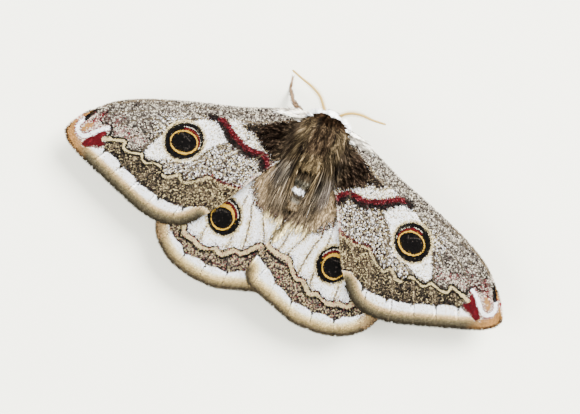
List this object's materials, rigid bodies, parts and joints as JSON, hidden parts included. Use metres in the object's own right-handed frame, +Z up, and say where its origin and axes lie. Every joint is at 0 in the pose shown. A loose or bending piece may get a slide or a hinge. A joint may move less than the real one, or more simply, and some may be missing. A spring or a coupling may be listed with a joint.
{
  "type": "emperor moth, female, life-size model",
  "caption": "Life-size female emperor moth at rest on six feet, wings spread flat, with furry body, combed antennae and eyespot wings.",
  "frame": {"origin": "on the surface the moth stands on, at the middle of the model's bounding box", "axes": "+Z up, the head towards -Y and the tail towards +Y, the moth's left towards +X; the wingspan lies along X"},
  "size_m": [0.0716, 0.0348, 0.0122],
  "materials": {
    "thorax_coat": "long brown hair",
    "abdomen_coat": "short grey-brown hair",
    "head_coat": "whitish hair",
    "eye": "glossy dark compound eye",
    "antenna": "straw, satin",
    "forewing": "velvety scales, grey, white, pink and black",
    "hindwing": "velvety scales, white, tan and brown",
    "leg": "hairy pinkish brown"
  },
  "bodies": {
    "root": {"thorax": "thorax_coat", "abdomen": "abdomen_coat", "head": "head_coat", "palp_left": "head_coat", "palp_right": "head_coat", "eye_left": "eye", "eye_right": "eye", "antenna_left": "antenna", "antenna_right": "antenna", "forewing_left": "forewing", "forewing_right": "forewing", "hindwing_left": "hindwing", "hindwing_right": "hindwing", "foreleg_left": "leg", "foreleg_right": "leg", "midleg_left": "leg", "midleg_right": "leg", "hindleg_left": "leg", "hindleg_right": "leg"}
  },
  "joints": []
}
